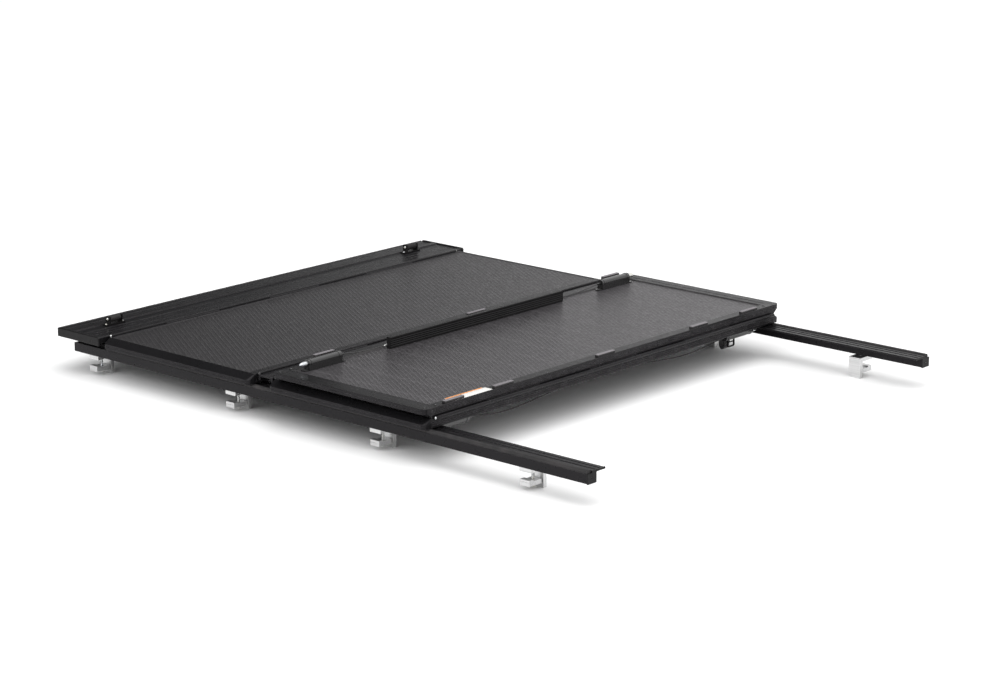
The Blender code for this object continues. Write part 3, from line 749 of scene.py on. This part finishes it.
def add_bumper_blocks():
    """Low blocks along the rear panel's hinge edge, and tall ones at its tail edge."""
    lip = closed_box("rear_frame_left")[0].z
    tall = closed_box("tail_bar")[0].z
    hinge_edge = closed_box("rear_frame_left")[1].y
    tail_edge = closed_box("rear_frame_left")[0].y
    for i, x in enumerate(HINGE_BLOCKS):
        add_block("hinge_block_" + str(i + 1), x, hinge_edge - 9.0, lip, lip - 7.0)
    for i, x in enumerate(TAIL_BLOCKS):
        add_block("tail_block_" + str(i + 1), x, tail_edge + 27.0, lip, tall + 3.0)


def bent_sheet(name, path, thick, low, high, material):
    """A thin film along X that follows a path of (y, z) points down a step, seen from below."""
    outer = [(y, z - thick) for y, z in reversed(path)]
    bm = bmesh.new()
    prism(bm, "X", path + outer, low, high)
    add(name, bm, material, "rear_panel", 1, 0.0)


def add_label():
    """A blank label over the rear panel's lip and liner: a white film with an orange band."""
    lip = closed_box("rear_frame_left")[0].z - 0.05
    liner = closed_box("rear_slab")[0].z - 0.25
    low, high = LABEL_X
    near, edge = LABEL_Y
    path = [(near, lip), (edge - 0.3, lip), (edge - 2.8, liner - 1.6), (edge - 4.8, liner - 0.45),
            (edge - 6.5, liner), (edge - 14.0, liner)]
    bent_sheet("blank_label", path, 0.2, low, high, PAPER)
    band = [(y, z - 0.22) for y, z in path[2:]]
    band[-1] = (band[-1][0] + 0.6, band[-1][1])
    bent_sheet("blank_label_band", band, 0.1, low + 1.0, high - 1.0, ORANGE)


# ---------------------------------------------------------------- latches and cables

LATCH_R = 11.0
LATCH_EAR = 15.0
SPRING_END = 572.0             # the fixed end of each latch's spring
SPRING_R = 5.3
SPRING_WIRE = 0.75
SPRING_TURNS = 11
MIDDLE_CABLE = (-1228.0, -42.0)
REAR_CABLE_Z = -33.0
BAR_GROOVES = 4
BAR_LEAD = 5.0                 # the plain height above and below the tail bar's grooves
BAR_CHAMFER = 1.4


def lower_half(count):
    """The angles of the lower half of a circle, for an outline of that many points."""
    return [math.pi + math.pi * i / (count // 2) for i in range(count // 2 + 1)]


def saddle_outline(middle, radius, roof, count=24):
    """A D outline round a point, hanging from a roof above it."""
    y, z = middle
    points = [(y + radius * math.cos(a), z + radius * math.sin(a)) for a in lower_half(count)]
    rest = count - len(points)
    points += [(y + radius - 2 * radius * i / (rest - 1), roof) for i in range(rest)]
    return points


def add_saddle(name, body, x, middle, bore, wall, half, material, side=1, ears=10.0):
    """A clip round a rod or cable along X, screwed up against the slab."""
    roof = closed_box("middle_slab")[0].z - CLEAR
    outer = saddle_outline(middle, bore + wall, roof)
    count = len(outer)
    y, z = middle
    lower = lower_half(count)
    upper = [math.pi * (i + 1) / (count - len(lower) + 1) for i in range(count - len(lower))]
    inner = [(y + bore * math.cos(a), z + bore * math.sin(a)) for a in lower + upper]
    bm = bmesh.new()
    tube(bm, "X", outer, inner, x - half, x + half)
    reach = bore + wall + ears
    for low, high in ((y - reach, y - bore - wall + 0.2), (y + bore + wall - 0.2, y + reach)):
        outline = rounded((high - low) / 2, half, 2.0, ((low + high) / 2, x), 3)
        outline = [(b, a) for a, b in outline]
        prism(bm, "Z", outline, roof - 2.0, roof)
    add(name, bm, material, body, side, 0.3)
    bm = bmesh.new()
    for place in (y - reach + ears / 2, y + reach - ears / 2):
        screw(bm, "Z", (x, place), roof - 1.9, 3.0, -1.7)
    add(name + "_screws", bm, ZINC, body, side, 0.0)


def coil(bm, low, high, middle, radius, wire, turns, steps=16):
    """A round wire wound along X, with its last turn at each end closed up."""
    path = []
    count = turns * steps
    for i in range(count + 1):
        share = i / count
        eased = min(max((share - 1 / turns) / (1 - 2 / turns), 0.0), 1.0)
        slack = min(share, 1 / turns) + max(share - 1 + 1 / turns, 0.0)
        x = low + wire + slack * turns * wire * 1.9
        x += eased * (high - low - 2 * wire - 3.8 * wire)
        a = 2 * math.pi * share * turns
        path.append((x, middle[0] + radius * math.cos(a), middle[1] + radius * math.sin(a)))
    swept(bm, path, wire, 8)


def add_latch_details(panel):
    """The springs, mounting ears, mouth rings and cable ferrules of a panel's two latches."""
    body = panel + "_panel"
    roof = closed_box("middle_slab")[0].z - CLEAR
    low, high = closed_box(panel + "_latch_right")
    bolt_low, bolt_high = closed_box(panel + "_bolt_right")
    middle = ((low.y + high.y) / 2, bolt_low.z / 2 + bolt_high.z / 2)
    for word, side in SIDES.items():
        tag = panel + "_" + word
        bm = bmesh.new()
        coil(bm, SPRING_END, bolt_low.x - 0.3, middle, SPRING_R, SPRING_WIRE, SPRING_TURNS)
        spring = add("latch_spring_" + tag, bm, ZINC, body, side, 0.0)
        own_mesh(spring)
        if panel == "rear":
            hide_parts("rear_spring_" + word)

        bm = bmesh.new()
        ears = ((low.x - LATCH_EAR, low.x - 0.4), (high.x + 0.4, high.x + LATCH_EAR))
        for x_low, x_high in ears:
            shape = rounded((x_high - x_low) / 2, 9.5, 3.0, ((x_low + x_high) / 2, middle[0]))
            prism(bm, "Z", shape, roof - 2.6, roof)
        add("latch_ears_" + tag, bm, ENAMEL, body, side, 0.4)
        bm = bmesh.new()
        for x in (low.x - 8.0, high.x + 8.0):
            screw(bm, "Z", (x, middle[0]), roof - 2.5, 3.4, -2.0)
        add("latch_screws_" + tag, bm, ENAMEL, body, side, 0.0)

        bm = bmesh.new()
        mouth = circle(9.6, middle, 28), circle(7.35, middle, 28)
        tube(bm, "X", *mouth, high.x + 0.2, high.x + 1.6)
        band = circle(LATCH_R + 0.9, middle, 28), circle(LATCH_R - 0.4, middle, 28)
        for x in (low.x + 10.0, high.x - 10.0):
            tube(bm, "X", *band, x - 2.0, x + 2.0)
        add("latch_rings_" + tag, bm, ENAMEL, body, side, 0.25)

        bm = bmesh.new()
        profile = ((-15.0, 1.9), (-14.2, 2.7), (-8.0, 2.7), (-7.6, 3.4), (-0.2, 3.4))
        turned(bm, "X", middle, [(low.x + at, r) for at, r in profile], 20)
        turned(bm, "X", middle, ((low.x - 4.6, 5.2), (low.x - 0.3, 5.2)), 6)
        add("cable_ferrule_" + tag, bm, ENAMEL, body, side, 0.2)


def add_tail_bar():
    """The grooved extrusion that stands along the rear panel's tail edge."""
    low, high = closed_box("tail_bar")
    pitch = (high.z - low.z - 2 * BAR_LEAD) / BAR_GROOVES
    groove = ((0.0, 0.0), (1.1, 0.25), (1.1, 0.6), (0.0, 0.85))
    flank = []
    for i in range(BAR_GROOVES):
        start = low.z + BAR_LEAD + i * pitch
        flank += [(depth, start + share * pitch) for depth, share in groove]
    left = [(low.y + depth, z) for depth, z in flank]
    right = [(high.y - depth, z) for depth, z in reversed(flank)]
    outline = [(low.y + BAR_CHAMFER, low.z), (low.y, low.z + BAR_CHAMFER), *left]
    outline += [(low.y, high.z), (high.y, high.z), *right]
    outline += [(high.y, low.z + BAR_CHAMFER), (high.y - BAR_CHAMFER, low.z)]
    bm = bmesh.new()
    prism(bm, "X", outline, low.x, high.x)
    bar = add("grooved_bar", bm, PLASTIC, "rear_panel", 1, 0.25)
    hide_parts("tail_bar")


def add_cable_clips():
    """A clip on the middle release cable, and the sleeves and caps at the tail bar's ends."""
    add_saddle("middle_cable_clip", "middle_panel", 0.0, MIDDLE_CABLE, 1.8, 1.4, 5.0, PLASTIC)
    bar_low, bar_high = closed_box("tail_bar")
    beside = (bar_low.y - 2.5, REAR_CABLE_Z)
    for word, side in SIDES.items():
        bm = bmesh.new()
        profile = ((0.3, 2.4), (0.3, 3.6), (2.0, 3.9), (4.0, 3.6), (9.0, 3.0), (12.0, 2.0))
        turned(bm, "X", beside, [(bar_high.x + at, r) for at, r in profile], 20)
        add("tail_bar_sleeve_" + word, bm, ZINC, "rear_panel", side, 0.0)
        bm = bmesh.new()
        half_z = (bar_high.z - bar_low.z) / 2
        middle = ((bar_low.y + bar_high.y) / 2, (bar_high.z + bar_low.z) / 2)
        half_y = (bar_high.y - bar_low.y) / 2 - 0.3
        cap = rounded(half_y, half_z - 0.2, 2.0, middle)
        prism(bm, "X", cap, bar_high.x + 0.2, bar_high.x + 2.6)
        add("tail_bar_cap_" + word, bm, PLASTIC, "rear_panel", side, 0.5)


# ---------------------------------------------------------------- strap and prop rods

STRAP_THICK = 1.7
STRAP_STEPS = 56
STRAP_COLUMNS = 8
ROD_X = 655.0
ROD_R = 4.0
ROD_CLIP_Y = (-33.0, -19.0)


def add_strap():
    """The stowage strap: a hanging loop of webbing and a ladder-lock buckle."""
    low, high = closed_box("stow_strap")
    x, y = (low.x + high.x) / 2, (low.y + high.y) / 2
    half_x, half_y = (high.x - low.x) / 2, (high.y - low.y) / 2
    path = []
    for i in range(STRAP_STEPS + 1):
        share = i / STRAP_STEPS
        turn = math.pi * share
        belly = math.sin(turn) ** 0.55
        sway = 1.6 * math.sin(turn * 2.0)
        across = (half_y - 0.9) * math.cos(turn) * (0.62 + 0.38 * math.sin(turn) ** 2)
        path.append(Vector((sway, y + across, high.z - (high.z - low.z - 0.9) * belly)))
    bm = bmesh.new()
    rows = []
    for point in path:
        edge = [half_x * (k / (STRAP_COLUMNS / 2) - 1) for k in range(STRAP_COLUMNS + 1)]
        crown = [0.35 * (1 - (e / half_x) ** 6) for e in edge]
        rows.append([bm.verts.new((x + point.x + e, point.y, point.z - c))
                     for e, c in zip(edge, crown)])
    for row, after in zip(rows, rows[1:]):
        for k in range(STRAP_COLUMNS):
            bm.faces.new((row[k], row[k + 1], after[k + 1], after[k]))
    strap = add("webbing_loop", bm, STRAP, "middle_panel", 1, 0.0)
    solid = strap.modifiers.new("Thickness", "SOLIDIFY")
    solid.thickness = STRAP_THICK * MM
    solid.offset = 0.0
    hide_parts("stow_strap")

    low, high = closed_box("strap_buckle")
    middle = ((low.x + high.x) / 2, (low.z + high.z) / 2)
    half_x, half_z = (high.x - low.x) / 2, (high.z - low.z) / 2
    near, far = low.y + 1.5, high.y - 1.5
    bm = bmesh.new()
    outer = rounded(half_x, half_z, 6.0, middle)
    inner = rounded(half_x - 3.6, half_z - 4.0, 3.0, middle)
    tube(bm, "Y", outer, inner, near, far)
    for z in (middle[1] - 6.5, middle[1] + 6.5):
        turned(bm, "X", ((near + far) / 2, z), ((low.x + 2.0, 2.1), (high.x - 2.0, 2.1)), 16)
    buckle = add("ladder_lock", bm, PLASTIC, "middle_panel", 1, 0.7)
    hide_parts("strap_buckle")


def add_rod_fittings():
    """The pivots, spring clips and rubber tips of the two prop rods."""
    low, high = closed_box("prop_rod_right")
    z = (low.z + high.z) / 2
    pivot = (low.y + ROD_R, z)
    roof = closed_box("front_frame_left")[0].z - CLEAR
    for word, side in SIDES.items():
        add_saddle("rod_pivot_" + word, "front_panel", low.x + 12.0, pivot, ROD_R + 0.3, 2.4, 8.0,
                   ENAMEL, side, 12.0)
        bm = bmesh.new()
        outline = [(ROD_X - ROD_R - 8.0, roof), (ROD_X + ROD_R + 8.0, roof)]
        right = [(8.0, -1.4), (1.9, -1.4), (1.7, -14.0), (0.5, -14.6), (0.5, -1.4)]
        outline += [(ROD_X + ROD_R + a, roof + b) for a, b in right]
        outline += [(ROD_X - ROD_R - a, roof + b) for a, b in reversed(right)]
        prism(bm, "Y", outline, *ROD_CLIP_Y)
        add("rod_clip_" + word, bm, ZINC, "front_panel", side, 0.3)
        bm = bmesh.new()
        profile = ((-15.0, 4.9), (-14.0, 5.6), (-9.0, 5.6), (-8.4, 5.1), (-2.4, 5.1), (-1.4, 5.6),
                   (0.6, 5.6), (1.6, 4.6), (2.0, 3.0))
        turned(bm, "X", (high.y - ROD_R, z), [(high.x + at, r) for at, r in profile])
        add("rod_tip_" + word, bm, RUBBER, "prop_rod_" + word, side, 0.0)


add_clamps()
add_rollers()
add_corner_brackets()
add_rail_screws()
add_panel_trim()
add_pin_heads()
add_bumper_blocks()
add_label()
add_latch_details("middle")
add_latch_details("rear")
add_tail_bar()
add_cable_clips()
add_strap()
add_rod_fittings()


# ---------------------------------------------------------------- studio and camera

VIEW_FROM = Vector((-6.008, -5.417, 2.224))
VIEW_AZIMUTH = math.radians(43.61)
VIEW_ELEVATION = math.radians(-17.20)
VIEW_ROLL = math.radians(-1.35)
LOOK_AT = Vector((0.02, -0.02, 0.08))
LENS = 104.0
FLOOR_HALF = 30.0
WORLD_STRENGTH = 1.35
FLAG_AT = (6.0, 28.0)          # azimuth and elevation of the flag's middle, in degrees
FLAG_EDGE = (44.0, 39.0)       # degrees from its middle where it ends and where it is full
FLAG_LEFT = 0.05               # the share of the light that the flag lets through


def add_camera():
    """A camera behind the cover's left rear corner, turned a little to centre the cover."""
    level = math.cos(VIEW_ELEVATION)
    forward = Vector((math.sin(VIEW_AZIMUTH) * level, math.cos(VIEW_AZIMUTH) * level,
                      math.sin(VIEW_ELEVATION)))
    turn = forward.to_track_quat("-Z", "Y") @ Quaternion((0, 0, 1), VIEW_ROLL)
    aim = turn.inverted() @ (LOOK_AT - VIEW_FROM)
    turn = turn @ Vector((0, 0, -1)).rotation_difference(aim)
    camera = bpy.data.objects.new("camera", bpy.data.cameras.new("camera"))
    bpy.context.scene.collection.objects.link(camera)
    camera.matrix_world = Matrix.Translation(VIEW_FROM) @ turn.to_matrix().to_4x4()
    camera.data.lens = LENS
    camera.data.sensor_width = 36.0
    bpy.context.scene.camera = camera


def add_floor():
    """A large flat pale studio floor."""
    mesh = bpy.data.meshes.new("studio_floor")
    bm = bmesh.new()
    bmesh.ops.create_grid(bm, x_segments=8, y_segments=8, size=FLOOR_HALF)
    bm.to_mesh(mesh)
    bm.free()
    floor = bpy.data.objects.new("studio_floor", mesh)
    bpy.context.scene.collection.objects.link(floor)
    material = bpy.data.materials.new("studio_floor")
    material.use_nodes = True
    colour = mixed(material, noise(material, 1.2, 3.0), neutral(0.90), neutral(0.94))
    join(material, colour, shader_of(material).inputs["Base Color"])
    shader_of(material).inputs["Roughness"].default_value = 0.75
    mesh.materials.append(material)


def add_light(name, place, aim, width, height, power):
    """A soft box that faces a point."""
    lamp = bpy.data.lights.new(name, "AREA")
    lamp.shape = "RECTANGLE"
    lamp.size = width
    lamp.size_y = height
    lamp.energy = power
    light = bpy.data.objects.new(name, lamp)
    bpy.context.scene.collection.objects.link(light)
    light.location = place
    light.rotation_mode = "QUATERNION"
    light.rotation_quaternion = (Vector(aim) - Vector(place)).to_track_quat("-Z", "Y")


def add_world():
    """Plain studio surroundings: bright overhead, dim low down, with a dark flag to one side."""
    world = bpy.data.worlds.new("studio")
    world.use_nodes = True
    tree = world.node_tree
    place = tree.nodes.new("ShaderNodeTexCoord").outputs["Generated"]
    split = tree.nodes.new("ShaderNodeSeparateXYZ")
    rise = tree.nodes.new("ShaderNodeValToRGB")
    tree.links.new(place, split.inputs[0])
    tree.links.new(split.outputs["Z"], rise.inputs["Fac"])
    rise.color_ramp.elements[0].position = 0.35
    rise.color_ramp.elements[0].color = neutral(0.8)
    rise.color_ramp.elements[1].position = 0.65
    rise.color_ramp.elements[1].color = neutral(1.15)

    azimuth, elevation = map(math.radians, FLAG_AT)
    flag = Vector((math.sin(azimuth) * math.cos(elevation), math.cos(azimuth) * math.cos(elevation),
                   math.sin(elevation)))
    close = tree.nodes.new("ShaderNodeVectorMath")
    close.operation = "DOT_PRODUCT"
    close.inputs[1].default_value = flag
    tree.links.new(place, close.inputs[0])
    shade = tree.nodes.new("ShaderNodeMapRange")
    outside, inside = (math.cos(math.radians(edge)) for edge in FLAG_EDGE)
    ranges = {"From Min": outside, "From Max": inside, "To Min": 1.0, "To Max": FLAG_LEFT}
    for key, value in ranges.items():
        shade.inputs[key].default_value = value
    tree.links.new(close.outputs["Value"], shade.inputs["Value"])
    light = tree.nodes.new("ShaderNodeVectorMath")
    light.operation = "SCALE"
    tree.links.new(rise.outputs["Color"], light.inputs[0])
    tree.links.new(shade.outputs["Result"], light.inputs["Scale"])
    tree.links.new(light.outputs["Vector"], tree.nodes["Background"].inputs["Color"])
    tree.nodes["Background"].inputs["Strength"].default_value = WORLD_STRENGTH
    bpy.context.scene.world = world

add_camera()
add_floor()
add_world()
add_light("overhead", (-0.5, -0.5, 4.5), (0, 0, 0), 4.0, 3.0, 70.0)
add_light("side_fill", (-4.0, 1.5, 2.2), (0, 0, 0.1), 2.5, 1.5, 25.0)
bpy.context.scene.view_settings.view_transform = "Standard"
